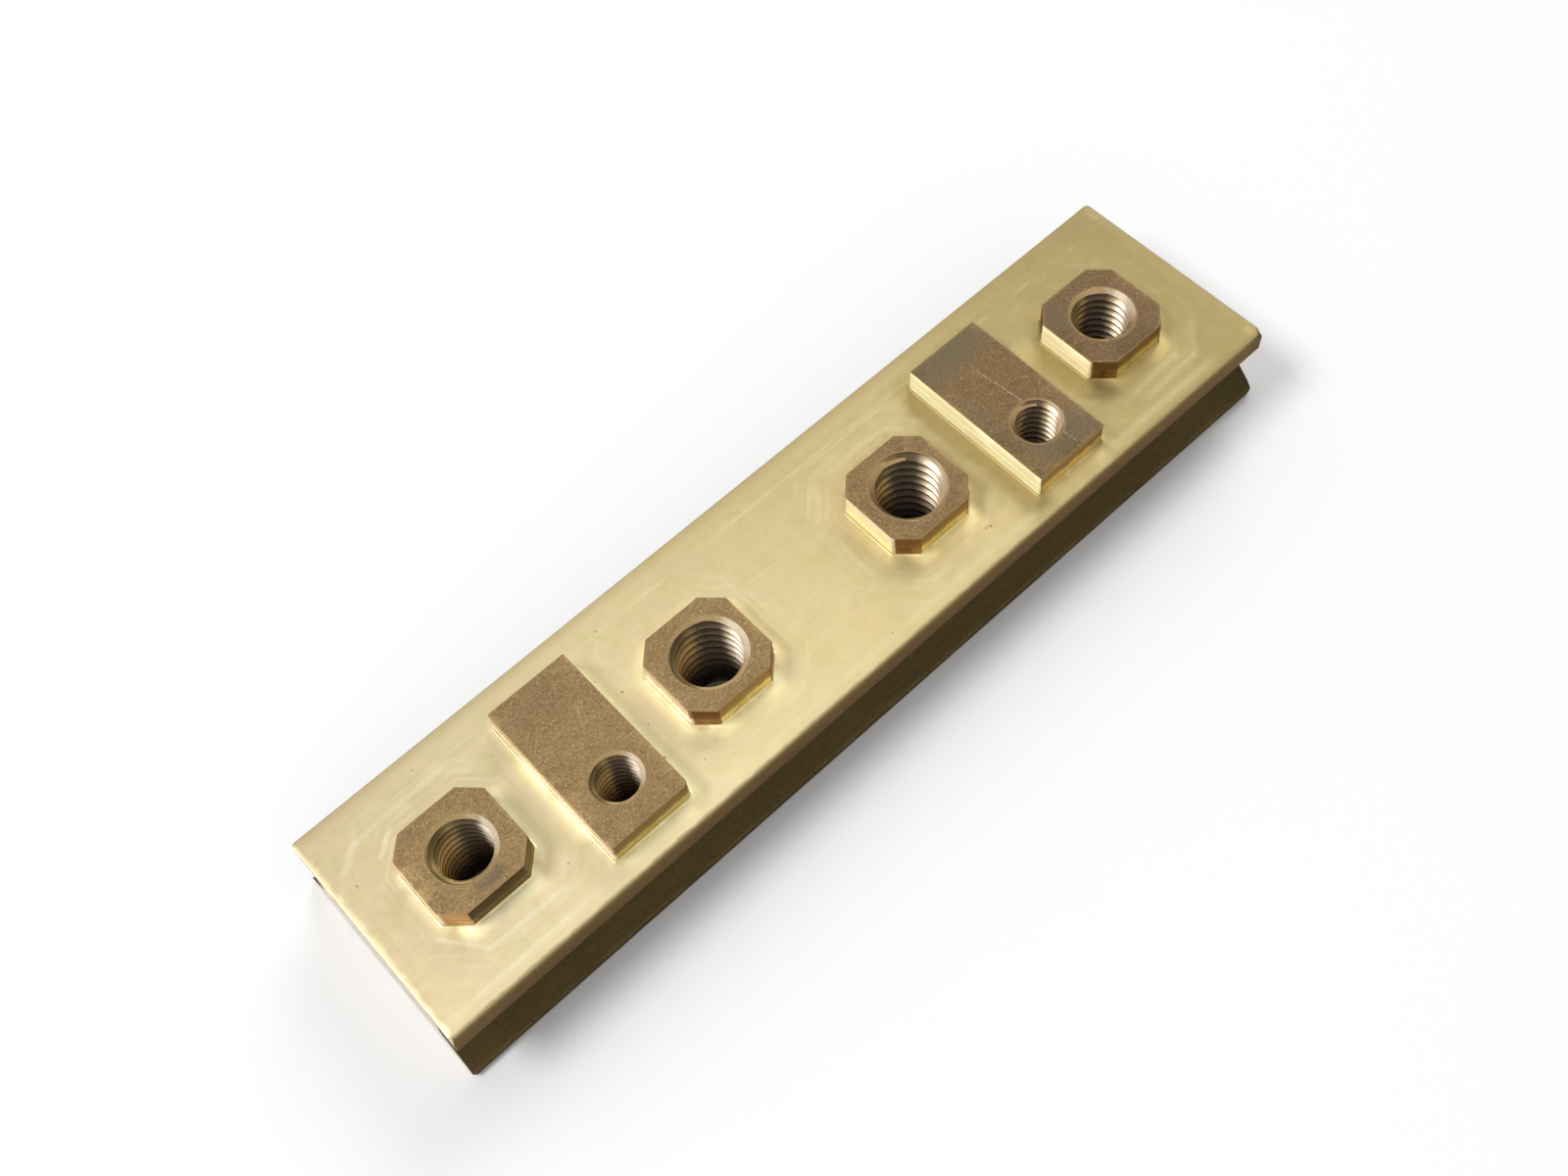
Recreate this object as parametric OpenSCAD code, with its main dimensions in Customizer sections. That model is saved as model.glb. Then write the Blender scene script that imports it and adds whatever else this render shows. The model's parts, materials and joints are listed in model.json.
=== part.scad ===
// Earth terminal bar.
// A length of grooved brass section whose top has been milled down round
// four octagonal screw seats and two rectangular pads. Each seat and pad is
// drilled and tapped right through. The bar is one piece of metal.
//
// Frame: X along the bar, Y across it, Z up. The origin is the centre of the
// underside. All sizes are in millimetres.
// The tapped holes are drawn at their tapping size (the bore left inside the
// thread crests): 5.0 for M6 x 1, 4.2 for M5 x 0.8 and 3.3 for M4 x 0.7.

/* [Bar] */
// Length along the underside
bar_length = 82.2; // [78:0.1:120]
// Height of the milled floor above the underside
floor_height = 7.8; // [6.5:0.1:10]
// How far the sawn left end leans in between underside and floor
end_slant = 0.6; // [0:0.1:1.2]
// Sharp edges of the bar are broken by this much
edge_break = 0.1; // [0.05:0.05:0.2]

/* [Section] */
// Width over the top flange
flange_width = 19.0; // [18:0.1:22]
// Thickness of the top flange
flange_thickness = 2.1; // [1:0.1:2.5]
// Width of the milled floor between the dressed flange edges
floor_width = 18.8; // [17.5:0.1:21.8]
// Width of the neck between the side grooves
neck_width = 14.0; // [12:0.1:16]
// Width over the foot
foot_width = 19.8; // [18:0.1:22]
// Height of the foot's upright edge below the flare
foot_edge = 0.6; // [0.4:0.1:1]
// Radius of the foot's lower edges
foot_radius = 0.25; // [0.1:0.05:0.35]

/* [Seats] */
// Octagonal seat, across the flats
seat_size = 8.0; // [7:0.1:9]
// Corner cut of a seat, measured along each flat
seat_corner = 1.5; // [1:0.1:2.2]
// Height of the seats and pads above the milled floor
seat_height = 2.2; // [1.5:0.1:4]
// Distance between the two outer seats
outer_spacing = 64.0; // [60:0.5:66]
// Distance between the two inner seats
inner_spacing = 20.0; // [16:0.5:24]
// Outer seats, offset across the bar
outer_y = -0.3; // [-1:0.1:1]
// Inner seats, offset across the bar
inner_y = -0.9; // [-1:0.1:1]

/* [Pads] */
// Width of a pad along the bar
pad_width = 7.0; // [6:0.1:8]
// Length of a pad across the bar
pad_length = 14.0; // [12:0.1:15]
// Distance between the two pads
pad_spacing = 42.0; // [40:0.5:44]
// Pads, offset across the bar
pad_y = -0.55; // [-1:0.05:1]

/* [Milling] */
// The lower half of every wall stands proud of the upper half by this much
step_proud = 0.1; // [0.05:0.05:0.2]
// Share of the wall height taken by the proud lower half
step_share = 0.5; // [0.3:0.05:0.7]
// Slope left by the cutter where a wall meets the floor
base_blend = 0.15; // [0.1:0.05:0.25]
// Break on the top edges of seats and pads
seat_break = 0.1; // [0.05:0.05:0.2]

/* [Tapped holes] */
// Tapping size of the inner holes (5.0 is M6)
inner_drill = 5.0; // [4:0.1:5.2]
// Countersink diameter of the inner holes
inner_sink = 6.0; // [5.5:0.1:6.5]
// Tapping size of the outer holes (4.2 is M5)
outer_drill = 4.2; // [3.3:0.1:4.6]
// Countersink diameter of the outer holes
outer_sink = 5.2; // [4.9:0.1:6]
// Tapping size of the pad holes (3.3 is M4)
pad_drill = 3.3; // [2.5:0.1:3.6]
// Countersink diameter of the pad holes
pad_sink = 4.1; // [3.9:0.1:5]
// All six holes sit this far along the bar from their seats' centres
hole_shift = 0.15; // [-0.3:0.05:0.3]
// Pad holes, offset across the bar
pad_hole_y = -3.7; // [-4.5:0.1:3]
// Edge break of the holes at the underside
hole_break = 0.3; // [0.1:0.1:0.5]

/* [Hidden] */
$fn = 96;

top_z = floor_height + seat_height;       // level of the seat tops
groove_top = floor_height - flange_thickness;
// the flare rises at 45 degrees, and stops short where the groove is shallow
flare = min((foot_width - neck_width) / 2, groove_top - foot_edge - 0.5);
reach = 40;                               // longer than any seat or pad

// Half of the outline in Y and Z, from the underside up to the floor.
// s is 1 for the +Y side and -1 for the -Y side.
function side_points(s) = [
    [s * (foot_width / 2 - foot_radius), 0],
    [s * foot_width / 2, foot_radius],
    [s * foot_width / 2, foot_edge],
    [s * neck_width / 2, foot_edge + flare],
    [s * neck_width / 2, groove_top],
    [s * (flange_width / 2 - edge_break), groove_top],
    [s * flange_width / 2, groove_top + edge_break],
    [s * flange_width / 2, floor_height - flange_thickness / 2],
    [s * (floor_width / 2 + edge_break / 2), floor_height - edge_break],
    [s * (floor_width / 2 - edge_break / 2), floor_height]
];

function reversed(v) = [for (i = [len(v) - 1 : -1 : 0]) v[i]];

// Cross-section of the bar, with true arcs on the foot's lower edges.
module section() {
    polygon(concat(side_points(1), reversed(side_points(-1))));
    for (s = [-1, 1])
        translate([s * (foot_width / 2 - foot_radius), foot_radius])
            circle(r = foot_radius);
}

// The bar seen from the side, in X and Z: the left end leans, the right end
// is square, and both upper edges are broken.
module side_view() {
    half = bar_length / 2;
    lean = end_slant / floor_height;
    polygon([
        [-half, 0],
        [-half + lean * (floor_height - edge_break), floor_height - edge_break],
        [-half + end_slant + edge_break, floor_height],
        [half - edge_break, floor_height],
        [half, floor_height - edge_break],
        [half, edge_break],
        [half - edge_break, 0]
    ]);
}

module stock() {
    intersection() {
        rotate([90, 0, 90])
            linear_extrude(height = bar_length + 2, center = true)
                section();
        rotate([90, 0, 0])
            linear_extrude(height = foot_width + 4, center = true)
                side_view();
    }
}

// A straight rib of width w along Y that rises from below the floor to
// height h above it, with both top edges cut back by e at 45 degrees.
module rib(w, h, e) {
    rotate([90, 0, 0])
        linear_extrude(height = reach, center = true)
            polygon([
                [-w / 2, -1],
                [w / 2, -1],
                [w / 2, h - e],
                [w / 2 - e, h],
                [-w / 2 + e, h],
                [-w / 2, h - e]
            ]);
}

// Octagon block: two ribs give the flats and two more give the corners.
module octagon_block(size, corner, h, e, grow = 0) {
    flats = size + 2 * grow;
    corners = (size - corner) * sqrt(2) + 2 * grow;
    intersection() {
        rib(flats, h, e);
        rotate([0, 0, 90]) rib(flats, h, e);
        rotate([0, 0, 45]) rib(corners, h, e);
        rotate([0, 0, -45]) rib(corners, h, e);
    }
}

// Rectangular block.
module oblong_block(width, length, h, e, grow = 0) {
    intersection() {
        rib(width + 2 * grow, h, e);
        rotate([0, 0, 90]) rib(length + 2 * grow, h, e);
    }
}

// A seat is milled in two passes, so its walls carry a small step. The slope
// at its base starts 0.1 below the floor and ends 0.05 inside the wall.
module seat() {
    octagon_block(seat_size, seat_corner, seat_height, seat_break);
    octagon_block(seat_size, seat_corner, seat_height * step_share, 0.04, step_proud);
    octagon_block(seat_size, seat_corner, base_blend + 0.05, base_blend + 0.15,
                  step_proud + base_blend + 0.1);
}

module pad() {
    oblong_block(pad_width, pad_length, seat_height, seat_break);
    oblong_block(pad_width, pad_length, seat_height * step_share, 0.04, step_proud);
    oblong_block(pad_width, pad_length, base_blend + 0.05, base_blend + 0.15,
                 step_proud + base_blend + 0.1);
}

// Through hole at tapping size, countersunk at 90 degrees on top and broken
// at the underside.
module tapped_hole(drill, sink) {
    translate([0, 0, -1])
        cylinder(d = drill, h = top_z + 2);
    translate([0, 0, top_z - (sink - drill) / 2])
        cylinder(d1 = drill, d2 = sink + 1, h = (sink - drill + 1) / 2);
    translate([0, 0, -0.5])
        cylinder(d1 = drill + 2 * hole_break + 1, d2 = drill, h = hole_break + 0.5);
}

module terminal_bar() {
    color([0.72, 0.64, 0.42])
        difference() {
            union() {
                stock();
                for (s = [-1, 1]) {
                    translate([s * outer_spacing / 2, outer_y, floor_height]) seat();
                    translate([s * inner_spacing / 2, inner_y, floor_height]) seat();
                    translate([s * pad_spacing / 2, pad_y, floor_height]) pad();
                }
            }
            for (s = [-1, 1]) {
                translate([s * outer_spacing / 2 + hole_shift, outer_y, 0])
                    tapped_hole(outer_drill, outer_sink);
                translate([s * inner_spacing / 2 + hole_shift, inner_y, 0])
                    tapped_hole(inner_drill, inner_sink);
                translate([s * pad_spacing / 2 + hole_shift, pad_hole_y, 0])
                    tapped_hole(pad_drill, pad_sink);
            }
        }
}

terminal_bar();
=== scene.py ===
# Earth terminal bar: the looks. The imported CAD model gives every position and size.
import json
import math

import bpy
import numpy as np
from mathutils import Matrix, Vector
from mathutils.geometry import delaunay_2d_cdt


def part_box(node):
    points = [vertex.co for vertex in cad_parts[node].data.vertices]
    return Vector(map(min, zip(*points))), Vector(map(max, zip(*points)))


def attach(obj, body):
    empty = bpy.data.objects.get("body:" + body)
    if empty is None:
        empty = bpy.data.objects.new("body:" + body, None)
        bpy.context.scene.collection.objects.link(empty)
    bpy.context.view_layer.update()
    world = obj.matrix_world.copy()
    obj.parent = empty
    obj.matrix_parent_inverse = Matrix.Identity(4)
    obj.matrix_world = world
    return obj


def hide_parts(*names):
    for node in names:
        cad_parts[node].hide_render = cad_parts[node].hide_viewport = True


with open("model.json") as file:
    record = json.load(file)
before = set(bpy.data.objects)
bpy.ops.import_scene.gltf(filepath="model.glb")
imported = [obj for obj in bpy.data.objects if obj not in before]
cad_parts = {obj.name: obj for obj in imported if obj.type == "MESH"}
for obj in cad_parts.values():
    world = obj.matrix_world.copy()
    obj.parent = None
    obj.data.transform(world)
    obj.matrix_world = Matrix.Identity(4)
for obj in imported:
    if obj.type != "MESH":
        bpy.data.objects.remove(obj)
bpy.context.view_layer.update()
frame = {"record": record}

NODE = "terminal_bar"
lo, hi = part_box(NODE)
MM = 0.001

# ---------------------------------------------------------------- sizes (mm)
L2 = (hi.x - lo.x) / 2 / MM            # half length at the underside
FOOT = (hi.y - lo.y) / 2 / MM          # half width over the foot
TOP = hi.z / MM                        # seat level
CX = (hi.x + lo.x) / 2 / MM
SEAT_H = 2.2
FLOOR = TOP - SEAT_H
FLANGE = FOOT - 0.4
FLOOR_W = FOOT - 0.5
NECK = FOOT - 2.9
FL_T = 2.1
SLANT = 0.5
mounts = {m["name"]: m for m in frame["record"]["mounts"]}


def hole(name, major, pitch, sink, turns_seed):
    m = mounts[name]
    return dict(x=m["pos_m"][0] / MM, y=m["pos_m"][1] / MM, r1=m["dims"]["r_mm"],
                r0=major / 2, pitch=pitch, rs=sink / 2, seed=turns_seed)


# seats and pads from left to right: centre, size, hole
SEATS = [
    dict(n="s1", x=-32.0, y=-0.3, kind="oct", h=hole("tap_m5_left", 5.0, 0.8, 5.2, 1)),
    dict(n="s2", x=-21.0, y=-0.55, kind="pad", rc={0: 0.45}, h=hole("tap_m4_left", 4.0, 0.7, 4.1, 2)),
    dict(n="s3", x=-10.0, y=-0.9, kind="oct", h=hole("tap_m6_left", 6.0, 1.0, 6.0, 3)),
    dict(n="s4", x=10.0, y=-0.9, kind="oct", h=hole("tap_m6_right", 6.0, 1.0, 6.0, 4)),
    dict(n="s5", x=21.0, y=-0.55, kind="pad", rc={0: 0.30}, h=hole("tap_m4_right", 4.0, 0.7, 4.1, 5)),
    dict(n="s6", x=32.0, y=-0.3, kind="oct", h=hole("tap_m5_right", 5.0, 0.8, 5.2, 6)),
]
OCT, CUT = 4.0, 1.5                    # half across flats, corner cut
PADX, PADY = 3.5, 7.0

# ---------------------------------------------------------------- mesh store
V, F, MAT = [], [], []                 # vertices (mm), faces, material index
M_FLOOR, M_SKIN, M_WALL, M_EDGE, M_SIDE, M_END, M_THREAD, M_SINK = range(8)


def add_v(pts):
    base = len(V)
    V.extend([tuple(map(float, p)) for p in pts])
    return list(range(base, base + len(pts)))


def add_f(idx, mat):
    out = []
    for i in idx:
        if not out or out[-1] != i:
            out.append(i)
    if len(out) > 1 and out[0] == out[-1]:
        out.pop()
    if len(set(out)) >= 3:
        F.append(out)
        MAT.append(mat)


def strip(a, b, mat, closed=True):
    """quads between two rings with the same count; a is the lower or outer ring"""
    n = len(a)
    for i in range(n if closed else n - 1):
        j = (i + 1) % n
        add_f([a[i], a[j], b[j], b[i]], mat)


LATTICE = {}


def value_noise(x, y, seed):
    """smooth 2-D noise in -1..1, from a seeded lattice"""
    if seed not in LATTICE:
        LATTICE[seed] = np.random.default_rng(seed).uniform(-1, 1, (64, 64))
    g = LATTICE[seed]
    x = np.asarray(x, float) + 1000.0
    y = np.asarray(y, float) + 1000.0
    xi, yi = np.floor(x).astype(int), np.floor(y).astype(int)
    fx, fy = x - xi, y - yi
    fx, fy = fx * fx * (3 - 2 * fx), fy * fy * (3 - 2 * fy)
    a = g[xi % 64, yi % 64] * (1 - fx) + g[(xi + 1) % 64, yi % 64] * fx
    b = g[xi % 64, (yi + 1) % 64] * (1 - fx) + g[(xi + 1) % 64, (yi + 1) % 64] * fx
    return a * (1 - fy) + b * fy


# ---------------------------------------------------------------- tapped holes
def tapped(h):
    """Hole wall as one helix-aligned grid. Returns its top ring and bottom ring."""
    p, r1, r0, rs = h["pitch"], h["r1"], h["r0"], h["rs"]
    ncol = int(round(r0 * 21 / 4) * 4)
    d = r0 - r1
    fl = d * math.tan(math.radians(30)) / p            # flank, as a share of the pitch
    crest = 0.25
    root = 1 - crest - 2 * fl
    k = 0.03
    prof = [(k, 0.02), (crest * 0.5, 0.0), (crest - k, 0.02), (crest + fl * 0.35, 0.42),
            (crest + fl * 0.75, 0.83), (crest + fl + root * 0.1, 0.985),
            (crest + fl + root * 0.9, 0.985), (crest + fl * 1.25 + root, 0.83),
            (crest + fl * 1.65 + root, 0.42), (1 - k * 0.6, 0.06)]
    s = len(prof)
    turns = int(math.ceil(TOP / p)) + 3
    rng = np.random.default_rng(100 + h["seed"])
    ph0 = 0.42 if h["seed"] == 3 else rng.uniform(0, 1)
    brk = 0.0 if h["seed"] == 3 else 0.1               # that hole came out without a break at the foot
    crest_noise = rng.uniform(-1, 1, (turns * s + s, 1)) * 0.006
    cols = []
    for i in range(ncol):
        th = 2 * math.pi * i / ncol
        col = []
        last = None
        for j in range(turns * s):
            t, u = divmod(j, s)
            z = p * (th / (2 * math.pi) + t - 1 + prof[u][0] - ph0)
            dep = prof[u][1] * d
            r = r1 + dep + float(crest_noise[j, 0]) * (1 - prof[u][1])
            if z <= 0.02:
                z = 0.0
            if z >= TOP - 0.02:
                z = TOP
            # lead-in: the thread is cut away by the countersink and the lower break
            r = max(r, rs - (TOP - z), r1 + brk - z)
            if z == 0.0:
                r = r1 + brk
            if z == TOP:
                r = rs
            if last is not None and abs(last[0] - z) < 1e-9:
                col.append(col[-1])
                continue
            iv = add_v([(h["x"] + r * math.cos(th), h["y"] + r * math.sin(th), z)])[0]
            last = (z, r)
            col.append(iv)
        cols.append(col)
    nrow = turns * s
    zc = TOP - (rs - r1)

    def mat_of(idx):
        zm = sum(V[i][2] for i in idx) / len(idx)
        rm = sum(math.hypot(V[i][0] - h["x"], V[i][1] - h["y"]) for i in idx) / len(idx)
        cone = abs(rm - (rs - (TOP - zm))) < 0.03 and zm > zc - 0.1
        return M_SINK if cone else M_THREAD

    for i in range(ncol):
        a = cols[i]
        if i + 1 < ncol:
            b = cols[i + 1]
        else:
            b = cols[0][s:] + [cols[0][-1]] * s
        for j in range(nrow - 1):
            idx = [a[j], a[j + 1], b[j + 1], b[j]]
            # seen from inside the hole the face turns towards the axis
            u = []
            for q in idx:
                if q not in u:
                    u.append(q)
            if len(u) >= 3:
                F.append(u)
                MAT.append(mat_of(u))
    top = [c[-1] for c in cols]
    bottom = [c[0] for c in cols]
    return top, bottom


# ---------------------------------------------------------------- seats and pads
def ring_pts(s, o, rc):
    """plan of a seat or pad grown by o, counter-clockwise, always with the same count;
    also the outward normal of every point"""
    if s["kind"] == "oct":
        a = b = OCT + o
        dd = (2 * OCT - CUT) / math.sqrt(2) + o         # half width over the corner cuts
        c = dd * math.sqrt(2) - a                       # where a cut meets a flat
        pts = [(a, -c), (a, c), (c, a), (-c, a), (-a, c), (-a, -c), (-c, -a), (c, -a)]
        base = [2 * OCT - 2 * CUT, CUT * 1.414] * 4
        n = 4
    else:
        a, b = PADX + o, PADY + o
        pts = [(a, -b), (a, b), (-a, b), (-a, -b)]
        base = [2 * PADY, 2 * PADX] * 2
        n = 5
    out, nor = [], []
    m = len(pts)
    ends = []
    for i in range(m):
        p0, p1, p2 = Vector(pts[i - 1]), Vector(pts[i]), Vector(pts[(i + 1) % m])
        d1, d2 = (p0 - p1).normalized(), (p2 - p1).normalized()
        half = math.acos(max(-1, min(1, d1.dot(d2)))) / 2
        r = max(s.get("rc", {}).get(i, rc) + o, 0.025)
        t = r / math.tan(half)
        c0 = p1 + (d1 + d2).normalized() * (r / math.sin(half))
        v1, v2 = p1 + d1 * t - c0, p1 + d2 * t - c0
        an1 = math.atan2(v1.y, v1.x)
        an2 = math.atan2(v2.y, v2.x)
        while an2 < an1:
            an2 += 2 * math.pi
        cor = []
        for k in range(n):
            an = an1 + (an2 - an1) * k / (n - 1)
            cor.append((c0.x + r * math.cos(an), c0.y + r * math.sin(an), math.cos(an), math.sin(an)))
        ends.append(cor)
    for i in range(m):
        cor, nxt = ends[i], ends[(i + 1) % m]
        for q in cor:
            out.append(q)
        k = max(1, int(round(base[i] / 0.4)))
        for j in range(1, k):
            t = j / k
            out.append(tuple(cor[-1][e] + (nxt[0][e] - cor[-1][e]) * t for e in range(2)) + cor[-1][2:])
    return np.array([(s["x"] + q[0], s["y"] + q[1]) for q in out]), np.array([(q[2], q[3]) for q in out])


def seat_rings(s):
    """profile of the wall from the floor up: (outset, height, material above)"""
    mid = SEAT_H / 2
    prof = [(0.20, 0.0, M_FLOOR), (0.125, 0.018, M_FLOOR), (0.075, 0.06, M_FLOOR), (0.045, 0.14, M_WALL),
            (0.032, 0.26, M_WALL), (0.030, mid - 0.06, M_WALL), (0.027, mid - 0.02, M_WALL),
            (0.018, mid, M_WALL), (0.006, mid + 0.01, M_WALL), (0.0, mid + 0.05, M_WALL),
            (0.0, SEAT_H - 0.05, M_WALL), (-0.008, SEAT_H - 0.025, M_WALL),
            (-0.025, SEAT_H - 0.008, M_SKIN), (-0.05, SEAT_H, None)]
    rings = []
    seed = 40 + SEATS.index(s)
    for k, (o, z, m) in enumerate(prof):
        p, n = ring_pts(s, o, 0.12)
        # small knocks and burrs along the two edges, strongest at the very edge
        w = {9: 0.35, 10: 0.7, 11: 1.0, 12: 0.9, 13: 0.6, 5: 0.4, 6: 0.6, 7: 0.6, 8: 0.3}.get(k, 0.0)
        if w:
            t = np.arange(len(p))
            a1 = value_noise(t * 0.9, np.full(len(p), (k > 8) * 7.3), seed)
            a2 = value_noise(t * 0.23, np.full(len(p), (k > 8) * 3.1), seed + 9)
            dent = 0.018 * a1 + 0.05 * np.clip(-a2 - 0.55, 0, 1)
            p = p - n * (np.abs(dent) * w)[:, None]
        rings.append((p, z, m))
    return rings


def fill(outer_rings, hole_rings, mat, extra=None, flip=False, zf=None):
    """planar face between rings of existing vertices, with optional inner points"""
    idx, co, edges = [], [], []
    for ring in outer_rings + hole_rings:
        b = len(co)
        n = len(ring)
        idx += ring
        co += [Vector((V[i][0], V[i][1])) for i in ring]
        edges += [(b + i, b + (i + 1) % n) for i in range(n)]
    nb = len(co)
    z = V[idx[0]][2]
    if extra is not None:
        co += [Vector(p) for p in extra]
    vo, eo, fo, ov, oe, of_ = delaunay_2d_cdt(co, edges, [], 0, 1e-7)
    polys = [np.array([(V[i][0], V[i][1]) for i in ring]) for ring in hole_rings]
    outer = np.array([(V[i][0], V[i][1]) for i in outer_rings[0]])
    mp = {}
    for k, orig in enumerate(ov):
        src = [q for q in orig if q < nb]
        if src:
            mp[k] = idx[src[0]]
    cen = np.array([[sum(vo[i][0] for i in f) / 3, sum(vo[i][1] for i in f) / 3] for f in fo])
    keep = inside(outer, cen)
    for pl in polys:
        keep &= ~inside(pl, cen)
    for f, k in zip(fo, keep):
        if not k:
            continue
        tri = []
        for i in f:
            if i not in mp:
                zz = z if zf is None else z + float(zf(vo[i][0], vo[i][1]))
                mp[i] = add_v([(vo[i][0], vo[i][1], zz)])[0]
            tri.append(mp[i])
        add_f(tri[::-1] if flip else tri, mat)


def inside(poly, pts):
    x, y = pts[:, 0], pts[:, 1]
    res = np.zeros(len(pts), bool)
    n = len(poly)
    for i in range(n):
        x1, y1 = poly[i]
        x2, y2 = poly[(i + 1) % n]
        if y1 == y2:
            continue
        c = ((y1 > y) != (y2 > y)) & (x < (x2 - x1) * (y - y1) / (y2 - y1) + x1)
        res ^= c
    return res


foot_prints, bottoms = [], []
for s in SEATS:
    top, bot = tapped(s["h"])
    bottoms.append(bot)
    rings = seat_rings(s)
    ids = []
    for ring, z, m in rings:
        ids.append(add_v([(x, y, FLOOR + z) for x, y in ring]))
    for k in range(len(rings) - 1):
        strip(ids[k], ids[k + 1], rings[k][2])
    # the outer ring runs counter-clockwise; the hole's top ring too
    fill([ids[-1]], [top], M_SKIN)
    foot_prints.append(ids[0])

# ---------------------------------------------------------------- the grooved bar
def arc(cx, cy, r, a0, a1, n):
    return [(cx + r * math.cos(math.radians(a0 + (a1 - a0) * i / (n - 1))),
             cy + r * math.sin(math.radians(a0 + (a1 - a0) * i / (n - 1)))) for i in range(n)]


gt = FLOOR - FL_T
half_prof = (
    [(FOOT - 0.25, 0.0)]
    + arc(FOOT - 0.25, 0.25, 0.25, -67, 0, 4)
    + [(FOOT, 0.45)]
    + arc(FOOT - 0.12, 0.55, 0.12, 10, 45, 3)
    + [(FOOT - 0.55, 1.15), (FOOT - 1.2, 1.80), (FOOT - 2.0, 2.60), (FOOT - 2.6, 3.20)]
    + [(NECK + 0.07, 3.46), (NECK, 3.66), (NECK, 4.2), (NECK, 5.2), (NECK, gt - 0.25),
       (NECK + 0.07, gt - 0.07), (NECK + 0.25, gt), (NECK + 1.2, gt), (FLANGE - 0.25, gt)]
    + arc(FLANGE - 0.12, gt + 0.12, 0.12, -70, 0, 4)
    + [(FLANGE, gt + 0.5), (FLANGE, gt + 1.0), (FLANGE - 0.01, FLOOR - 0.55), (FLOOR_W + 0.05, FLOOR - 0.12),
       (FLOOR_W + 0.035, FLOOR - 0.045), (FLOOR_W + 0.01, FLOOR - 0.01), (FLOOR_W - 0.03, FLOOR)]
)
HP = len(half_prof)
# points across the floor and the underside, used only at the two ends of the bar
near = [0.07, 0.15, 0.25, 0.38, 0.52, 0.68, 0.85, 1.1, 1.5, 2.0]
fy = FLOOR_W - 0.03
span = [fy - d for d in near] + list(np.linspace(fy - 2.9, -fy + 2.9, 15)) + [-fy + d for d in near[::-1]]
by = FOOT - 0.25
bspan = [-by + d for d in near[1::2]] + list(np.linspace(-by + 2.9, by - 2.9, 9)) + [by - d for d in near[1::2][::-1]]
NF, NB = len(span), len(bspan)
profile = [(y, z) for y, z in half_prof] + [(y, FLOOR) for y in span] + \
          [(-y, z) for y, z in half_prof[::-1]] + [(y, 0.0) for y in bspan]
NP = len(profile)
K_FAR, K_NEAR, K_BOT = HP - 1, HP + NF, 2 * HP + NF - 1


def is_side(k):
    """segment k to k + 1 lies on one of the two long sides"""
    return k < K_FAR or K_NEAR <= k < K_BOT


step = 0.55
nst = int(round((2 * L2 - 2.0) / step))
X0 = -L2 + 0.2
xs = [X0, X0 + 0.016, X0 + 0.05] + [X0 + 0.05 + 0.15 * k for k in range(1, 7)] + \
     list(np.linspace(X0 + 1.2, L2 - 1.5, nst + 1)) + \
     [L2 - 0.09 - 0.13 * k for k in range(10, 0, -1)] + [L2 - 0.09, L2 - 0.03, L2]
inset = {0: 0.09, 1: 0.035, 2: 0.0}
inset_left = {0: 0.05, 1: 0.016, 2: 0.0}
prof_np = np.array(profile)
tan = np.roll(prof_np, -1, 0) - np.roll(prof_np, 1, 0)
nrm = np.stack([tan[:, 1], -tan[:, 0]], 1)
nrm /= np.linalg.norm(nrm, axis=1, keepdims=True)
NS = len(xs)

# filed or knocked corners: plane normal and a point on the plane; what lies outside is cut flat
FACETS = [
    (Vector((0.58, -0.55, 0.60)).normalized(), Vector((L2 - 0.55, -FLOOR_W, FLOOR))),
    (Vector((-0.62, 0.55, 0.56)).normalized(), Vector((-L2 + SLANT + 0.45, FLOOR_W, FLOOR))),
    (Vector((0.62, 0.62, 0.48)).normalized(), Vector((L2 - 0.32, FLOOR_W, FLOOR))),
    (Vector((-0.62, -0.62, 0.50)).normalized(), Vector((-L2 + SLANT + 0.36, -FLOOR_W, FLOOR))),
    (Vector((0.70, -0.62, -0.30)).normalized(), Vector((L2 - 0.30, -FOOT, 0.40))),
    (Vector((-0.70, -0.62, -0.30)).normalized(), Vector((-L2 + 0.42, -FOOT, 0.30))),
    (Vector((0.70, 0.62, -0.30)).normalized(), Vector((L2 - 0.20, FOOT, 0.30))),
]
CUTS = set()


def cut_corners(p, key):
    v = Vector(p)
    for n, q in FACETS:
        d = n.dot(v - q)
        if 0 < d < 1.5:
            if v.z > FLOOR - 1e-6 and n.z > 0:
                h = Vector((n.x, n.y, 0))
                v = v - h * (d / h.length_squared)     # the floor stays level up to the cut
            else:
                v = v - n * d * 0.999
            CUTS.add(key)
    return tuple(v)


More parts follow.
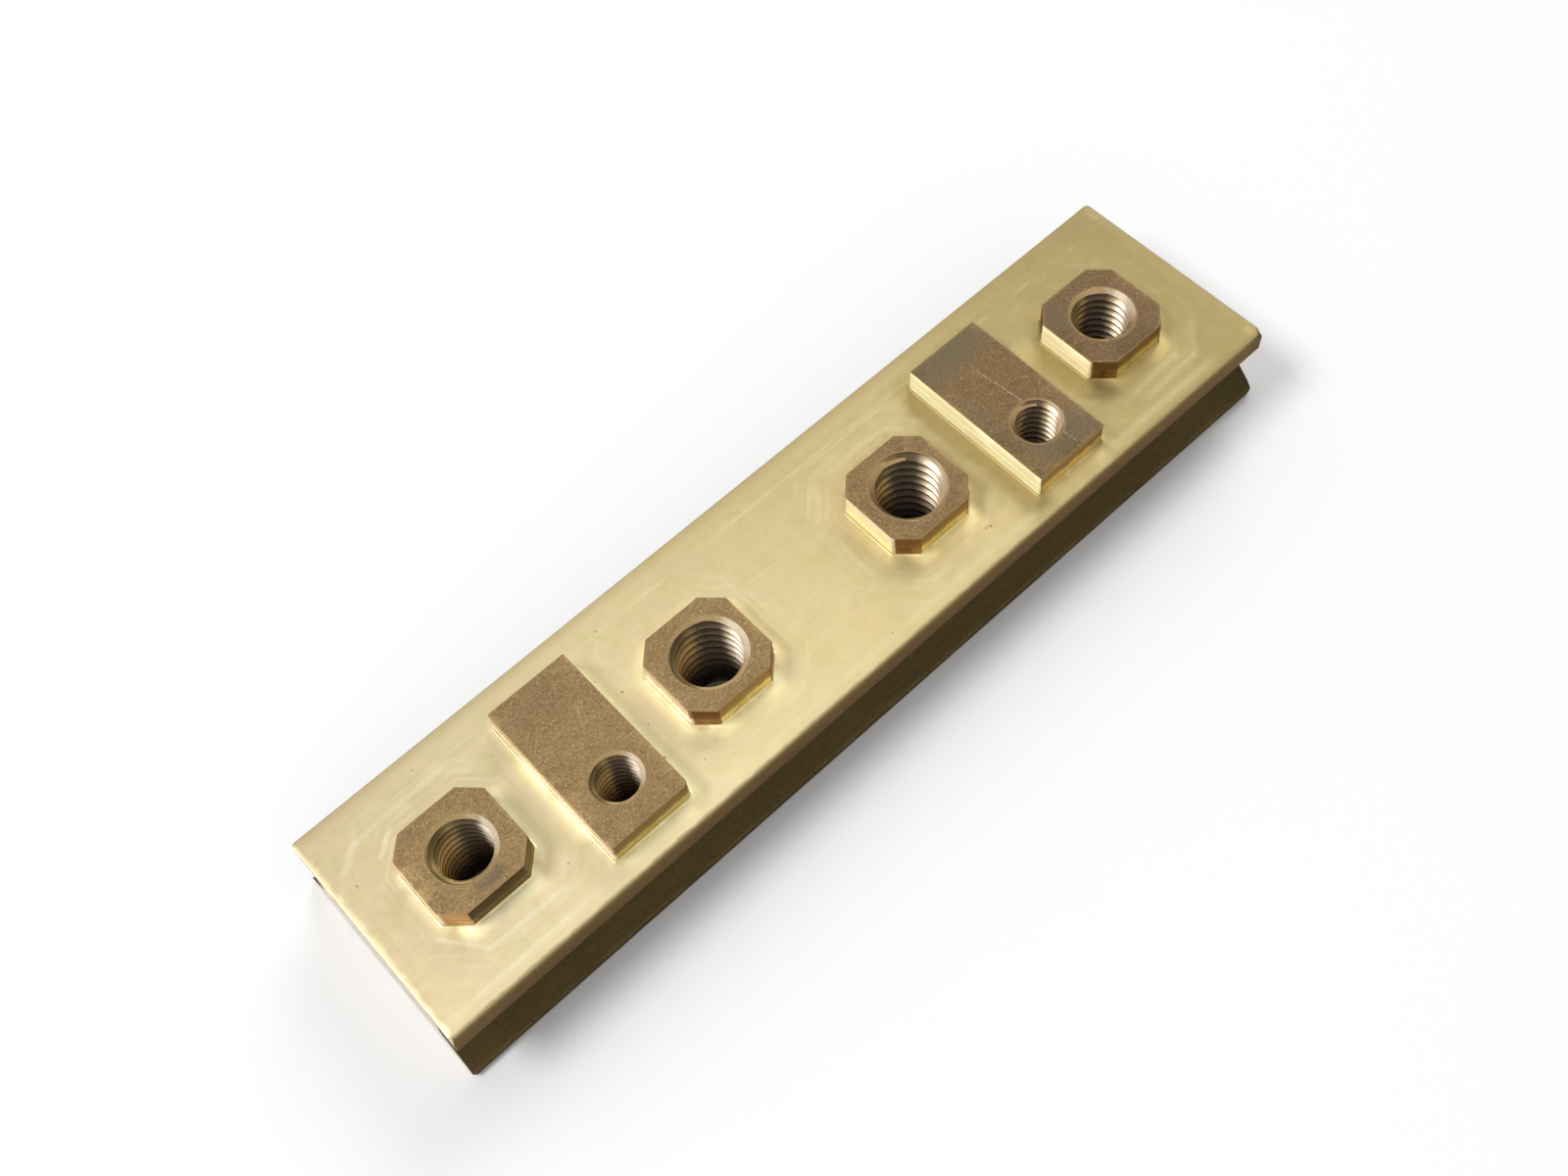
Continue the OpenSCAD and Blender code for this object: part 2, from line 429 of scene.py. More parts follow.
ids = []
for i, x in enumerate(xs):
    e = min(i, NS - 1 - i)
    ins = (inset_left if i < NS // 2 else inset).get(e, 0.0)
    row = {}
    for k in range(NP):
        side_pt = k <= K_FAR or K_NEAR <= k <= K_BOT
        if e > 2 and not side_pt:
            continue
        y, z = prof_np[k]
        y2, z2 = y - nrm[k, 0] * ins, z - nrm[k, 1] * ins
        if side_pt and z > FLOOR - 0.06:
            # the tiny round between side and floor shrinks evenly, so it can't fold over
            sg = 1 if y > 0 else -1
            y2 = y + (sg * (FLOOR_W - 0.08) - y) * ins / 0.15
            z2 = z + (FLOOR - 0.15 - z) * ins / 0.15
        z2 = max(z2, 0.0)
        lean = SLANT * z2 / FLOOR
        t = min(1.0, max(0.0, 1 - (x + L2) / 20.0))
        # the flange edges aren't quite parallel to the seats
        drift = -(0.075 - 0.0012 * x) if y < 0 else -0.08
        y2 += drift * min(1.0, max(0.0, z - 4.2)) * min(1.0, max(0.0, (abs(y) - 6.0) / 3.0))
        w = 0.012 * value_noise(x * 0.35, k * 0.31, 7) + 0.008 * value_noise(x * 1.7, k * 0.9, 8)
        w = min(float(w) * (1.0 if 0.05 < z2 < FLOOR - 0.3 and e > 2 else 0.0), 0.0)
        p = (x + lean * t, y2 + nrm[k, 0] * w, z2 + nrm[k, 1] * w)
        row[k] = add_v([cut_corners(p, (i, k))])[0]
    ids.append(row)
for i in range(NS - 1):
    full = i < 2 or i >= NS - 3
    for k in range(NP):
        k2 = (k + 1) % NP
        if not (full or is_side(k)):
            continue
        mt = M_SIDE
        if i < 2 and V[ids[i][k]][2] > FLOOR - 0.35:
            mt = M_EDGE
        add_f([ids[i][k], ids[i + 1][k], ids[i + 1][k2], ids[i][k2]][::-1], mt)


# end faces, in Y and Z
def end_cap(ring, flip):
    co = [Vector((V[i][1], V[i][2])) for i in ring]
    n = len(co)
    vo, eo, fo, ov, oe, of_ = delaunay_2d_cdt(co, [(i, (i + 1) % n) for i in range(n)], [], 0, 1e-7)
    poly = np.array([(c[0], c[1]) for c in co])
    cen = np.array([[sum(vo[i][0] for i in f) / 3, sum(vo[i][1] for i in f) / 3] for f in fo])
    keep = inside(poly, cen)
    mp = {k: ring[o[0]] for k, o in enumerate(ov) if o}
    for f, kk in zip(fo, keep):
        if kk:
            tri = [mp[i] for i in f]
            add_f(tri[::-1] if flip else tri, M_END)


end_cap([ids[0][k] for k in range(NP)], True)
end_cap([ids[-1][k] for k in range(NP)], False)

# floor and underside between the third station and the last but two
A_, B_ = 2, NS - 3
mid_st = range(A_, B_ + 1)
under = [ids[i][0] for i in reversed(mid_st)] + [ids[A_][k] for k in range(NP - 1, K_BOT, -1)] + \
        [ids[i][K_BOT] for i in mid_st] + [ids[B_][k] for k in range(K_BOT + 1, NP)]
fill([under], bottoms, M_SIDE, flip=True)
rim = [ids[i][K_FAR] for i in reversed(mid_st)] + [ids[A_][k] for k in range(K_FAR + 1, K_NEAR)] + \
      [ids[i][K_NEAR] for i in mid_st] + [ids[B_][k] for k in range(K_NEAR - 1, K_FAR, -1)]
gx = np.arange(-L2 + 1.2, L2 - 0.6, 0.7)
gy = np.arange(-FLOOR_W + 0.5, FLOOR_W - 0.3, 0.7)
ex = []
rng = np.random.default_rng(5)
for a in gx:
    for b in gy:
        q = (a + rng.uniform(-.15, .15), b + rng.uniform(-.15, .15))
        if all(n.dot(Vector((q[0], q[1], FLOOR)) - c) < -0.12 for n, c in FACETS if n.z > 0):
            ex.append(q)
ex = np.array(ex)
ok = np.ones(len(ex), bool)
for s in SEATS:
    hx = (OCT if s["kind"] == "oct" else PADX) + 0.5
    hy = (OCT if s["kind"] == "oct" else PADY) + 0.5
    ok &= ~((abs(ex[:, 0] - s["x"]) < hx) & (abs(ex[:, 1] - s["y"]) < hy))
ex = ex[ok]


def floor_relief(x, y):
    return 0.003 * float(value_noise(x * 0.5, y * 0.5, 21)) - 0.003


fill([rim], foot_prints, M_FLOOR, extra=[tuple(p) for p in ex], zf=floor_relief)

# ---------------------------------------------------------------- to Blender
co = np.array(V, float)
co[:, 0] += CX
co = co * MM
# keep inside the CAD box
co[:, 0] = np.clip(co[:, 0], lo.x, hi.x)
co[:, 1] = np.clip(co[:, 1], lo.y, hi.y)
co[:, 2] = np.clip(co[:, 2], lo.z, hi.z)
me = bpy.data.meshes.new("earth_bar")
me.from_pydata([tuple(p) for p in co], [], F)
me.update()
bar = bpy.data.objects.new("earth_bar", me)
bpy.context.scene.collection.objects.link(bar)

import bmesh
bm = bmesh.new()
bm.from_mesh(me)
for f, m in zip(bm.faces, MAT):
    f.material_index = m
bmesh.ops.remove_doubles(bm, verts=bm.verts, dist=1e-8)
loose = [v for v in bm.verts if not v.link_faces]
bmesh.ops.delete(bm, geom=loose, context="VERTS")
bmesh.ops.recalc_face_normals(bm, faces=bm.faces)
vol = bm.calc_volume(signed=True)
if vol < 0:
    bmesh.ops.reverse_faces(bm, faces=bm.faces)
for f in bm.faces:
    f.smooth = True
bm.to_mesh(me)
bm.free()
me.set_sharp_from_angle(angle=math.radians(32))
wn = bar.modifiers.new("normals", "WEIGHTED_NORMAL")
wn.keep_sharp = True
wn.weight = 60


# ---------------------------------------------------------------- materials
class Graph:
    """small helper that builds a node tree from expressions; a value is a float or a socket"""

    def __init__(self, name):
        self.m = bpy.data.materials.new(name)
        self.m.use_nodes = True
        self.nt = self.m.node_tree
        self.nt.nodes.clear()
        out = self.nt.nodes.new("ShaderNodeOutputMaterial")
        self.b = self.nt.nodes.new("ShaderNodeBsdfPrincipled")
        self.nt.links.new(self.b.outputs[0], out.inputs[0])
        tc = self.nt.nodes.new("ShaderNodeTexCoord")
        sc = self.nt.nodes.new("ShaderNodeVectorMath")
        sc.operation = "SCALE"
        sc.inputs["Scale"].default_value = 1000.0
        self.nt.links.new(tc.outputs["Object"], sc.inputs[0])
        self.P = sc.outputs[0]                      # millimetres
        sep = self.nt.nodes.new("ShaderNodeSeparateXYZ")
        self.nt.links.new(self.P, sep.inputs[0])
        self.x, self.y, self.z = sep.outputs

    def put(self, sock, v):
        if isinstance(v, bpy.types.NodeSocket):
            self.nt.links.new(v, sock)
        else:
            sock.default_value = v

    def m_(self, op, *a, clamp=False):
        n = self.nt.nodes.new("ShaderNodeMath")
        n.operation = op
        n.use_clamp = clamp
        for i, v in enumerate(a):
            self.put(n.inputs[i], v)
        return n.outputs[0]

    def add(self, a, b): return self.m_("ADD", a, b)
    def sub(self, a, b): return self.m_("SUBTRACT", a, b)
    def mul(self, a, b): return self.m_("MULTIPLY", a, b)
    def mx(self, a, b): return self.m_("MAXIMUM", a, b)
    def mn(self, a, b): return self.m_("MINIMUM", a, b)
    def ab(self, a): return self.m_("ABSOLUTE", a)
    def inv(self, a): return self.m_("SUBTRACT", 1.0, a)

    def step(self, v, a, b, lo_=0.0, hi_=1.0):
        n = self.nt.nodes.new("ShaderNodeMapRange")
        n.interpolation_type = "SMOOTHSTEP"
        self.put(n.inputs["Value"], v)
        # the smooth step wants rising bounds
        if a <= b:
            n.inputs["From Min"].default_value, n.inputs["From Max"].default_value = a, b
            n.inputs["To Min"].default_value, n.inputs["To Max"].default_value = lo_, hi_
        else:
            n.inputs["From Min"].default_value, n.inputs["From Max"].default_value = b, a
            n.inputs["To Min"].default_value, n.inputs["To Max"].default_value = hi_, lo_
        return n.outputs["Result"]

    def band(self, v, centre, half, soft=None):
        """1 at the centre, falling smoothly to 0 at centre +- half"""
        return self.step(self.ab(self.sub(v, centre)), soft or 0.0, half, 1.0, 0.0)

    def stretch(self, sx, sy, sz, off=(0, 0, 0)):
        n = self.nt.nodes.new("ShaderNodeMapping")
        self.nt.links.new(self.P, n.inputs["Vector"])
        n.inputs["Scale"].default_value = (sx, sy, sz)
        n.inputs["Location"].default_value = off
        return n.outputs[0]

    def noise(self, scale, detail=2.0, rough=0.5, vec=None, off=None, dist=0.0):
        n = self.nt.nodes.new("ShaderNodeTexNoise")
        n.inputs["Scale"].default_value = scale
        n.inputs["Detail"].default_value = detail
        n.inputs["Roughness"].default_value = rough
        n.inputs["Distortion"].default_value = dist
        if vec is None:
            vec = self.stretch(1, 1, 1, off) if off else self.P
        self.nt.links.new(vec, n.inputs["Vector"])
        return n.outputs["Fac"]

    def voro(self, scale, vec=None, feature="F1", rand=1.0):
        n = self.nt.nodes.new("ShaderNodeTexVoronoi")
        n.feature = feature
        n.inputs["Scale"].default_value = scale
        n.inputs["Randomness"].default_value = rand
        self.nt.links.new(vec or self.P, n.inputs["Vector"])
        return n.outputs["Distance"], n.outputs["Color"]

    def mix(self, fac, a, b, blend="MIX"):
        n = self.nt.nodes.new("ShaderNodeMix")
        n.data_type = "RGBA"
        n.blend_type = blend
        n.clamp_factor = True
        self.put(n.inputs["Factor"], fac)
        for sock, v in ((n.inputs[6], a), (n.inputs[7], b)):
            if isinstance(v, bpy.types.NodeSocket):
                self.nt.links.new(v, sock)
            else:
                sock.default_value = (v[0], v[1], v[2], 1.0)
        return n.outputs[2]

    def mix_f(self, fac, a, b):
        return self.add(a, self.mul(fac, b - a))

    def scale_col(self, col, f):
        n = self.nt.nodes.new("ShaderNodeVectorMath")
        n.operation = "SCALE"
        self.nt.links.new(col, n.inputs[0])
        self.put(n.inputs["Scale"], f)
        return n.outputs[0]

    def ramp(self, fac, stops):
        n = self.nt.nodes.new("ShaderNodeValToRGB")
        cr = n.color_ramp
        while len(cr.elements) < len(stops):
            cr.elements.new(0.5)
        for e, (p, c) in zip(cr.elements, stops):
            e.position = p
            e.color = (c[0], c[1], c[2], 1.0)
        self.put(n.inputs[0], fac)
        return n.outputs[0]

    def spot(self, cx, cy, r, soft=0.4, warp=None):
        """round mark on a horizontal face"""
        dx, dy = self.sub(self.x, cx), self.sub(self.y, cy)
        d = self.m_("SQRT", self.add(self.mul(dx, dx), self.mul(dy, dy)))
        if warp is not None:
            d = self.add(d, warp)
        return self.step(d, r * (1 - soft), r, 1.0, 0.0)

    def blob(self, cx, cy, rx, ry, warp=None, soft=0.5):
        dx = self.mul(self.sub(self.x, cx), 1.0 / rx)
        dy = self.mul(self.sub(self.y, cy), 1.0 / ry)
        d = self.m_("SQRT", self.add(self.mul(dx, dx), self.mul(dy, dy)))
        if warp is not None:
            d = self.add(d, warp)
        return self.step(d, 1 - soft, 1.0 + soft, 1.0, 0.0)

    def seg(self, x1, y1, x2, y2, w, soft=1.0):
        """straight mark between two points on a horizontal face, w half width"""
        ln = math.hypot(x2 - x1, y2 - y1)
        ux, uy = (x2 - x1) / ln, (y2 - y1) / ln
        dx, dy = self.sub(self.x, x1), self.sub(self.y, y1)
        t = self.add(self.mul(dx, ux), self.mul(dy, uy))
        t = self.mn(self.mx(t, 0.0), ln)
        ex, ey = self.sub(dx, self.mul(t, ux)), self.sub(dy, self.mul(t, uy))
        d = self.m_("SQRT", self.add(self.mul(ex, ex), self.mul(ey, ey)))
        return self.step(d, w * (1 - soft), w, 1.0, 0.0)

    def seat_dist(self, s, k=0.35):
        """outward distance from one seat's or pad's outline in plan"""
        dx = self.ab(self.sub(self.x, s["x"]))
        dy = self.ab(self.sub(self.y, s["y"]))
        if s["kind"] == "oct":
            dd = (2 * OCT - CUT) / math.sqrt(2)
            a = self.m_("SMOOTH_MAX", self.sub(dx, OCT), self.sub(dy, OCT), k)
            b = self.sub(self.mul(self.add(dx, dy), 0.70711), dd)
            return self.m_("SMOOTH_MAX", a, b, k)
        return self.m_("SMOOTH_MAX", self.sub(dx, PADX), self.sub(dy, PADY), k)

    def holes(self):
        """distance outside the nearest countersink"""
        r = None
        for s in SEATS:
            dx, dy = self.sub(self.x, s["h"]["x"]), self.sub(self.y, s["h"]["y"])
            d = self.sub(self.m_("SQRT", self.add(self.mul(dx, dx), self.mul(dy, dy))), s["h"]["rs"])
            r = d if r is None else self.mn(r, d)
        return r

    def bore_dir(self, ux, uy):
        """which way a point lies from the axis of its own hole: 1 towards (ux, uy), -1 away"""
        out_ = None
        for s in SEATS:
            dx, dy = self.sub(self.x, s["h"]["x"]), self.sub(self.y, s["h"]["y"])
            r = self.m_("SQRT", self.add(self.add(self.mul(dx, dx), self.mul(dy, dy)), 1e-4))
            c = self.m_("DIVIDE", self.add(self.mul(dx, ux), self.mul(dy, uy)), r)
            near_ = self.m_("LESS_THAN", r, 4.5)
            c = self.mul(c, near_)
            out_ = c if out_ is None else self.add(out_, c)
        return out_

    def bore_depth(self):
        """0 on the thread crests of a point's own hole, 1 in the roots"""
        out_ = None
        for s in SEATS:
            h = s["h"]
            dx, dy = self.sub(self.x, h["x"]), self.sub(self.y, h["y"])
            r = self.m_("SQRT", self.add(self.mul(dx, dx), self.mul(dy, dy)))
            c = self.step(r, h["r1"] + 0.01, h["r1"] + 0.75 * (h["r0"] - h["r1"]))
            c = self.mul(c, self.m_("LESS_THAN", r, 4.5))
            out_ = c if out_ is None else self.add(out_, c)
        return out_

    def finish(self, color, rough, metal, bump=None, dist=0.02, strength=1.0):
        self.put(self.b.inputs["Base Color"], color)
        self.put(self.b.inputs["Roughness"], rough)
        self.put(self.b.inputs["Metallic"], metal)
        if bump is not None:
            n = self.nt.nodes.new("ShaderNodeBump")
            n.inputs["Strength"].default_value = strength
            n.inputs["Distance"].default_value = dist * MM
            self.nt.links.new(bump, n.inputs["Height"])
            self.nt.links.new(n.outputs[0], self.b.inputs["Normal"])
        return self.m


def total(g, items):
    out = None
    for it in items:
        out = it if out is None else g.add(out, it)
    return out


def milled_floor():
    g = Graph("milled_floor")
    big = g.noise(0.16, 2.0, 0.5)
    mid = g.noise(0.9, 3.0, 0.55, off=(3, 9, 1))
    fine = g.noise(5.5, 2.0, 0.6)
    grain = g.noise(14.0, 1.0, 0.6)
    smear = g.noise(1.0, 3.0, 0.6, vec=g.stretch(0.5, 2.4, 1, (7, 2, 0)))
    # distance to the nearest seat, wavering a little as hand-fed cutter paths do
    wav = g.mul(g.sub(g.noise(0.45, 1.0, 0.5, off=(1, 5, 2)), 0.5), 0.55)
    D = None
    OCTD = []
    for s in SEATS:
        d = g.seat_dist(s, 0.5)
        if s["kind"] == "oct":
            OCTD.append(d)
        D = d if D is None else g.m_("SMOOTH_MIN", D, d, 0.3)
    Dw = g.add(D, wav)
    DO = OCTD[0]
    for d in OCTD[1:]:
        DO = g.mn(DO, d)
    DOw = g.add(DO, wav)
    patch = [g.step(g.noise(0.30, 1.0, 0.5, off=o), 0.42, 0.60) for o in
             ((11, 0, 0), (0, 17, 3), (5, 31, 7), (23, 2, 9))]
    light = total(g, [
        g.mul(g.mul(g.band(g.add(D, g.mul(wav, 0.3)), 0.30, 0.34), 0.35), g.step(g.x, -24.0, -28.0, 1.0, 0.4)),
        g.mul(g.mul(g.band(DOw, 0.95, 0.22), patch[0]), 0.35),
        g.mul(g.mul(g.band(DOw, 1.45, 0.30), patch[3]), 0.35),
        g.mul(g.mul(g.band(DOw, 2.15, 0.45), patch[1]), 0.55),
        g.mul(g.mul(g.band(DOw, 2.80, 0.55), patch[2]), 0.30),
        g.mul(g.mul(g.band(DOw, 4.00, 0.45), patch[3]), 0.22),
    ])
    ringw = g.step(g.x, 8.0, 24.0, 1.0, 0.30)
    light = g.mul(light, ringw)
    dark = total(g, [
        g.mul(g.mul(g.band(DOw, 0.72, 0.20), patch[2]), 0.20),
        g.mul(g.mul(g.band(DOw, 1.80, 0.30), patch[1]), 0.25),
        g.mul(g.mul(g.band(DOw, 3.35, 0.35), patch[0]), 0.20),
    ])
    # straight passes along the bar and between seats
    ay = g.y
    longl = total(g, [
        g.mul(g.mul(g.band(g.add(g.y, g.mul(wav, 0.35)), -8.40, 0.55), g.step(g.x, 33.0, 38.5, 1, 0)), 0.42),
        g.mul(g.mul(g.band(g.add(g.y, g.mul(wav, 0.5)), 7.1, 0.28), patch[0]), 0.35),
        g.mul(g.mul(g.band(g.add(g.y, g.mul(wav, 0.5)), 6.75, 0.12), g.step(g.ab(g.sub(g.x, 10.8)), 3.4, 4.4, 1, 0)), 0.55),
        g.mul(g.mul(g.band(g.y, 7.2, 0.16), g.step(g.ab(g.sub(g.x, 2.0)), 3.6, 4.6, 1, 0)), 0.45),
        g.mul(g.mul(g.band(g.add(g.x, g.mul(wav, 0.6)), -25.7, 0.22), g.step(g.ab(g.y), 6.0, 8.0, 1, 0)), 0.35),
        g.mul(g.mul(g.band(g.add(g.x, g.mul(wav, 0.4)), -15.1, 0.10), g.step(g.ab(g.y), 3.6, 5.0, 1, 0)), 0.45),
        g.seg(-36.9, -3.4, -34.7, -6.2, 0.28), g.mul(g.seg(-34.7, -6.35, -28.3, -6.5, 0.30), 0.8),
        g.mul(g.seg(-33.8, -5.1, -29.9, -5.1, 0.24), 0.7), g.mul(g.seg(-37.6, -8.35, -28.6, -8.3, 0.2), 0.6),
        g.mul(g.seg(-38.8, 5.0, -37.0, 6.25, 0.5), 0.5), g.mul(g.seg(-37.0, 6.3, -29.3, 6.6, 0.4), 0.4),
        g.mul(g.seg(-36.3, 4.1, -34.6, 5.5, 0.3), 0.7),
        g.mul(g.seg(-5.2, -6.2, -3.6, -4.4, 0.22), 0.5), g.mul(g.seg(-4.45, -3.0, -4.5, 4.0, 0.22), 0.4),
        g.mul(g.seg(-12.0, -5.75, -8.4, -5.8, 0.2), 0.6), g.mul(g.seg(5.2, 5.0, 3.6, 3.3, 0.12), 0.5),
        g.mul(g.seg(2.0, -3.4, 3.4, -5.6, 0.12), 0.6), g.mul(g.seg(30.0, -7.3, 35.6, -7.1, 0.42), 0.30),
        g.mul(g.seg(29.8, -6.25, 34.6, -6.1, 0.40), 0.32), g.mul(g.seg(35.6, -7.1, 37.6, -5.0, 0.6), 0.22), g.mul(g.seg(34.6, -6.1, 36.2, -4.4, 0.5), 0.16), g.mul(g.seg(-14.75, 7.4, -14.6, 5.8, 0.07), 1.0),
        g.mul(g.seg(-8.3, 5.2, -7.5, 4.2, 0.09), 0.4), g.mul(g.seg(-3.2, 2.3, -0.8, 2.2, 0.2), 0.35),
    ])
    longd = total(g, [
        g.mul(g.seg(5.8, 5.9, 4.0, 4.0, 0.18), 0.6), g.mul(g.seg(-37.6, -4.4, -35.2, -7.2, 0.2), 0.5),
        g.mul(g.seg(-34.6, -7.3, -28.0, -7.4, 0.3), 0.5), g.mul(g.seg(-33.5, -5.75, -29.0, -5.8, 0.22), 0.4),
        g.mul(g.seg(6.4, 7.7, 15.8, 7.6, 0.5), 0.45), g.mul(g.seg(31.0, -5.7, 35.8, -5.7, 0.2), 0.35),
        g.mul(g.seg(-6.2, 7.9, -0.4, 7.9, 0.3), 0.3), g.mul(g.seg(-3.6, -3.9, -4.8, -5.6, 0.14), 0.4),
    ])
    ringl = g.step(g.x, -24.0, -28.0, 1.0, 1.8)
    light = g.mul(g.mul(g.add(light, longl), ringl), g.add(0.55, g.mul(smear, 0.9)))
    dark = g.mul(g.mul(g.add(g.mul(dark, ringw), longd), ringl), g.add(0.55, g.mul(smear, 0.9)))
    # painted light: the floor is lifted within about 2.5 mm of the seats' near (-Y) sides and right sides, and in the
    # gap between the right-hand pad and the last seat, painting out the shadows the seats cast there
    near_m, right_m = None, None
    for s in SEATS:
        hx, hy = (OCT, OCT) if s["kind"] == "oct" else (PADX, PADY)
        q = g.mul(g.step(g.y, s["y"] - hy + 1.4, s["y"] - hy + 0.2), g.step(g.ab(g.sub(g.x, s["x"])), hx + 0.2, hx - 1.5))
        near_m = q if near_m is None else g.mx(near_m, q)
        q = g.mul(g.step(g.x, s["x"] + hx - 1.0, s["x"] + hx), g.step(g.ab(g.sub(g.y, s["y"] - 0.6)), hy + 0.6, hy - 0.8))
        right_m = q if right_m is None else g.mx(right_m, q)
    close = g.add(g.mul(g.step(D, 1.35, 0.35), 0.80), g.mul(g.step(D, 2.6, 0.9), 0.17))
    painted_light_lift = g.mx(g.mul(near_m, close), g.mul(g.mul(right_m, g.add(g.step(g.x, 8.0, -2.0, 0.15, 0.38), g.step(g.x, -12.0, -18.0, 0.0, 0.20))), close))
    painted_light_gap = g.mul(g.band(g.x, 26.55, 1.6, 0.5), g.step(g.ab(g.add(g.y, 0.6)), 4.8, 2.8))
    painted_light_lift = g.mx(painted_light_lift, g.mul(painted_light_gap, 0.34))
    # fine tool marks that follow the cutter paths, only just visible
    lay = g.m_("SINE", g.mul(Dw, 21.0))
    # base tone: greyer and paler at the left, more olive and darker to the right; the fall in brightness is partly
    # painted light, partly the metal's own tone
    t = g.add(g.mul(g.add(g.x, 41.0), 1 / 82.0), g.mul(g.sub(big, 0.5), 0.14))
    base = g.ramp(t, FLOOR_TONES)
    greenish = g.step(g.noise(0.55, 3.0, 0.6, off=(3, 60, 8)), 0.46, 0.66)
    base = g.mix(g.mul(greenish, 0.8), base, (0.95, 0.99, 0.88), "MULTIPLY")
    tone = total(g, [1.0, g.mul(g.sub(mid, 0.5), g.mix_f(g.step(g.x, 0.0, 20.0), 0.12, 0.22)), g.mul(g.sub(fine, 0.5), g.mix_f(g.step(g.x, 0.0, 20.0), 0.12, 0.20)), g.mul(g.sub(grain, 0.5), 0.13),
                     g.mul(g.sub(smear, 0.5), 0.10), g.mul(g.y, -0.011), painted_light_lift, g.mul(lay, 0.004), g.mul(light, 0.075), g.mul(dark, -0.075)])
    col = g.scale_col(base, tone)
    pale = g.mul(light, 0.22)
    col = g.mix(pale, col, (0.92, 0.86, 0.66))
    # brown film left at the far edge and the two ends, and in the corners of the seats
    ed = g.mx(g.mx(g.step(g.add(g.y, g.mul(g.sub(mid, 0.5), 0.9)), 8.15, 9.3),
                   g.mul(g.step(g.add(g.x, g.mul(g.sub(mid, 0.5), 0.4)), 40.6, 41.05), 0.8)),
              g.mul(g.step(g.add(g.x, g.mul(g.sub(mid, 0.5), 0.8)), -39.6, -40.5), 0.6))
    col = g.mix(g.mul(ed, 0.42), col, (0.36, 0.26, 0.11))
    nearer = g.step(g.add(g.mul(g.y, -1.0), g.add(g.mul(g.sub(mid, 0.5), 0.35), g.mul(g.sub(grain, 0.5), 0.22))), 9.14, 9.44)
    # yellow film left in the lee of the cutter, close to the seats
    lee = g.mul(g.step(g.add(D, g.mul(g.sub(mid, 0.5), 0.5)), 0.55, 0.10), g.step(g.noise(0.5, 2.0, 0.6, off=(15, 2, 44)), 0.42, 0.60))
    col = g.mix(g.mul(lee, 0.40), col, (0.50, 0.38, 0.115))
    # the floor is darker and browner within 2 mm of the seats on the right half, away from their near sides and the
    # pad-to-seat gap
    darker_right_of_seats = g.mul(g.mul(g.step(g.add(D, g.mul(g.sub(mid, 0.5), 0.8)), 2.0, 0.5), g.sub(1.0, near_m)), g.step(g.x, 4.0, 10.0))
    darker_right_of_seats = g.mul(darker_right_of_seats, g.sub(1.0, g.step(g.ab(g.sub(g.x, 26.2)), 1.9, 1.4)))
    col = g.mix(g.mul(darker_right_of_seats, 0.48), col, (0.30, 0.215, 0.055))
    col = g.mix(g.mul(nearer, 0.80), col, (0.27, 0.205, 0.075))
    # painted shade: the floor is darkened at the near right corner, which faces away from the light
    tip = g.step(g.add(g.sub(g.x, g.y), g.mul(g.sub(mid, 0.5), 0.5)), 49.6, 50.2)
    col = g.mix(g.mul(tip, 0.85), col, (0.13, 0.095, 0.025))
    stain = g.step(g.noise(0.35, 3.0, 0.6, off=(40, 3, 3)), 0.60, 0.78)
    col = g.mix(g.mul(stain, 0.16), col, (0.50, 0.40, 0.22))
    # specks and pits
    vd, vc = g.voro(1.15)
    sepc = g.nt.nodes.new("ShaderNodeSeparateColor")
    g.nt.links.new(vc, sepc.inputs[0])
    speck = g.mul(g.step(vd, 0.045, 0.10, 1.0, 0.0), g.step(sepc.outputs[0], 0.80, 0.86))
    warp = g.mul(g.sub(fine, 0.5), 0.25)
    pits = None
    for px, py, pr in ((-14.2, 7.3, .17), (-15.95, 2.1, .17), (-16.2, -1.2, .13), (-17.1, -4.0, .2), (-27.0, -5.35, .13),
                       (-38.7, 3.6, .14), (-30.8, 7.9, .11), (-8.5, 7.3, .12), (-15.1, -6.1, .12), (-0.6, -8.3, .1),
                       (12.95, -6.85, .22), (12.6, -6.75, .16), (-17.2, 6.5, .12), (-16.9, 4.1, .1), (-3.0, 7.7, .08),
                       (36.4, 5.0, .1), (27.3, -3.0, .1), (1.4, -8.2, .09), (30.9, 8.2, .1), (-26.6, 4.6, .08)):
        q = g.spot(px, py, pr, 0.7, warp)
        pits = q if pits is None else g.mx(pits, q)
    mark = g.mx(g.mul(speck, 0.45), g.mul(pits, 0.85))
    col = g.mix(g.mul(mark, 0.8), col, (0.26, 0.20, 0.08))
    h = total(g, [g.mul(light, 0.05), g.mul(dark, -0.05), g.mul(grain, 0.55), g.mul(fine, 0.35), g.mul(mid, 0.3),
                  g.mul(lay, 0.02), g.mul(mark, -1.2)])
    rough = total(g, [0.40, g.mul(g.sub(mid, 0.5), 0.10), g.mul(light, -0.03), g.mul(ed, 0.08), g.mul(mark, 0.25)])
    return g.finish(col, rough, FLOOR_METAL, h, 0.010)


